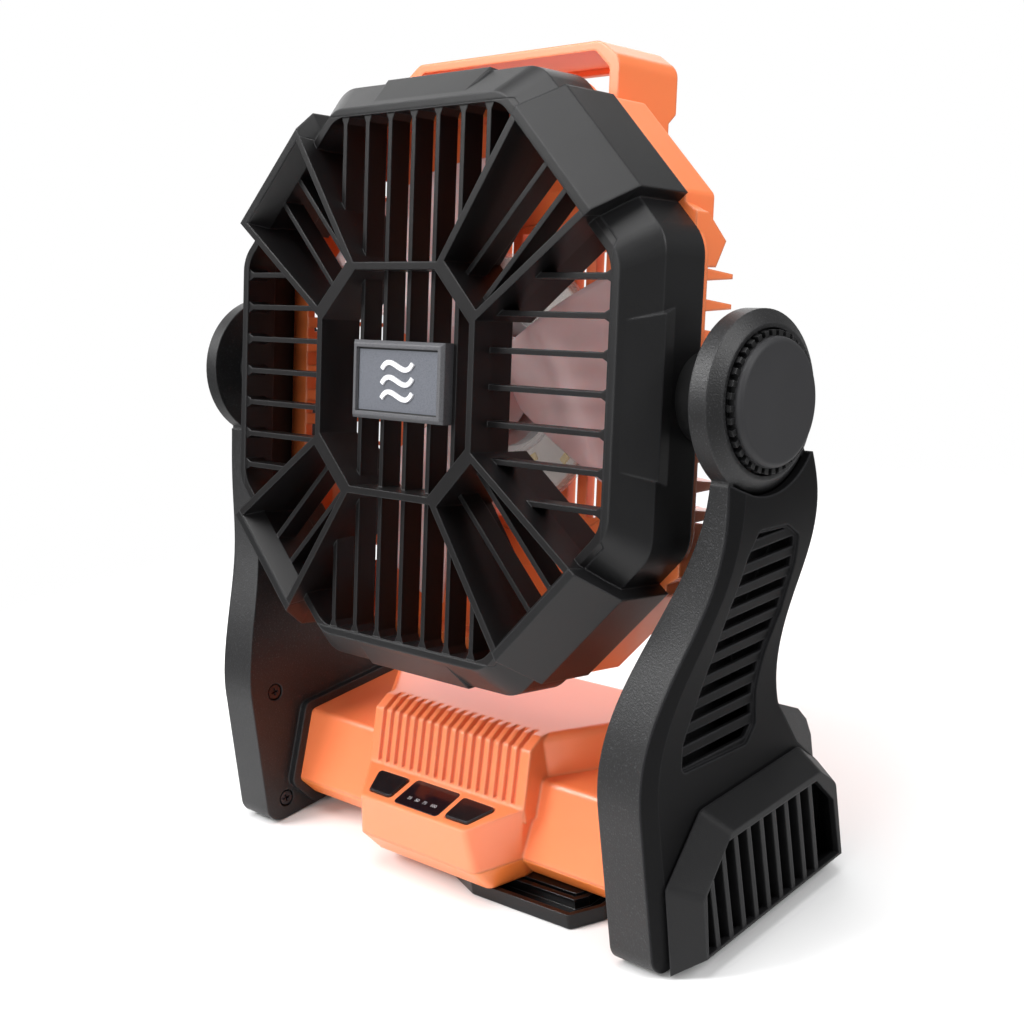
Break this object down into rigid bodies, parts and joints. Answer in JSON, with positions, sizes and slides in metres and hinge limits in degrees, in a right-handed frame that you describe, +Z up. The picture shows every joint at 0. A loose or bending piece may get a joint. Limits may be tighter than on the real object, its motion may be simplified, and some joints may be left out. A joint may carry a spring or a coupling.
{
  "type": "portable camping fan",
  "caption": "Battery camping fan: tilting octagonal fan head with rear lamp ring and carry handle, held between two legs on a low base with keys, display and fold-out hook.",
  "frame": {"origin": "centre of the overall footprint, on the surface the rubber feet stand on", "axes": "+Z up, the fan blows towards -Y, +X to the right seen from the front"},
  "size_m": [0.2708, 0.1327, 0.2928],
  "materials": {
    "bezel_black": "satin moulded plastic with a fine grain",
    "grille_black": "satin moulded plastic, worn lighter on its front edges",
    "badge_grey": "satin grey plastic",
    "badge_print": "white printed sign",
    "housing_orange": "semi-gloss orange plastic",
    "base_orange": "semi-gloss orange plastic",
    "blade_clear": "translucent tinted plastic",
    "motor_steel": "pressed steel can",
    "steel": "turned steel",
    "coil_copper": "enamelled copper windings",
    "mount_white": "white plastic",
    "lamp_board": "white lacquered circuit board",
    "lamp_chip": "yellow phosphor chips",
    "lamp_lens": "frosted clear plastic",
    "screw_black": "blackened steel",
    "screw_steel": "zinc plated steel",
    "knob_black": "satin moulded plastic",
    "knob_cap_black": "smooth satin black cap",
    "leg_black": "coarse grained plastic",
    "cover_black": "fine grained plastic",
    "foot_black": "fine grained plastic",
    "pad_rubber": "matt rubber",
    "display_black": "gloss tinted window",
    "button_black": "gloss black key",
    "hook_black": "semi-gloss black plastic",
    "board_green": "green circuit board",
    "switch_black": "small black key switches",
    "cell_blue": "sleeved battery cells",
    "holder_black": "matt black tray",
    "port_steel": "formed steel shell"
  },
  "bodies": {
    "base": {"leg_shell_right": "leg_black", "leg_shell_left": "leg_black", "leg_cover_right": "cover_black", "leg_cover_left": "cover_black", "foot_shell_right": "foot_black", "foot_shell_left": "foot_black", "leg_screws": "screw_black", "rubber_feet": "pad_rubber", "base_top": "base_orange", "base_bottom": "base_orange", "base_screws": "screw_steel", "base_leg_screws": "screw_steel", "display_window": "display_black", "button_switches": "switch_black", "key_board": "board_green", "battery_cells": "cell_blue", "battery_holder": "holder_black", "control_board": "board_green", "charge_port": "port_steel", "hook_seat": "hook_black", "hook_pins": "steel", "seat_screws": "screw_black"},
    "head": {"front_bezel": "bezel_black", "front_grille": "grille_black", "badge_plate": "badge_grey", "badge_symbol": "badge_print", "rear_housing": "housing_orange", "rear_grille": "housing_orange", "carry_handle": "housing_orange", "motor_housing": "motor_steel", "motor_bearings": "steel", "motor_stator": "coil_copper", "motor_mount": "mount_white", "led_board": "lamp_board", "led_chips": "lamp_chip", "led_lens": "lamp_lens", "trunnion_right": "knob_black", "trunnion_left": "knob_black", "trunnion_screws": "screw_steel", "pivot_washers": "pad_rubber", "head_screws": "screw_steel", "grille_screws": "screw_steel"},
    "blade": {"fan_blade": "blade_clear", "blade_nut": "steel", "motor_shaft": "steel", "motor_rotor": "steel"},
    "knob_right": {"knob_right": "knob_black", "knob_cap_right": "knob_cap_black", "clamp_stud_right": "steel"},
    "knob_left": {"knob_left": "knob_black", "knob_cap_left": "knob_cap_black", "clamp_stud_left": "steel"},
    "button_right": {"button_right": "button_black"},
    "button_left": {"button_left": "button_black"},
    "hook": {"hook_bail": "hook_black"}
  },
  "joints": [
    {"name": "head_tilt", "type": "hinge", "parent": "base", "child": "head", "pos_m": [0, -0.00333, 0.1795], "axis": [1, 0, 0], "range_deg": [-121.24, 148.76]},
    {"name": "blade_spin", "type": "hinge", "parent": "head", "child": "blade", "pos_m": [0, -0.00333, 0.1795], "axis": [0, 0.9713, -0.2379], "continuous": true},
    {"name": "knob_right_turn", "type": "hinge", "parent": "base", "child": "knob_right", "pos_m": [0.13, -0.00333, 0.1795], "axis": [1, 0, 0], "range_deg": [0, 180]},
    {"name": "knob_left_turn", "type": "hinge", "parent": "base", "child": "knob_left", "pos_m": [-0.13, -0.00333, 0.1795], "axis": [-1, 0, 0], "range_deg": [0, 180]},
    {"name": "button_right_press", "type": "slide", "parent": "base", "child": "button_right", "axis": [0, 0.2099, -0.9777], "range_m": [0, 0.001], "stiffness_N_per_m": 400, "springref_m": -0.0005},
    {"name": "button_left_press", "type": "slide", "parent": "base", "child": "button_left", "axis": [0, 0.2099, -0.9777], "range_m": [0, 0.001], "stiffness_N_per_m": 400, "springref_m": -0.0005},
    {"name": "hook_swing", "type": "hinge", "parent": "base", "child": "hook", "pos_m": [0.0283, 0.00127, 0.0031], "axis": [1, 0, 0], "range_deg": [0, 180]}
  ]
}
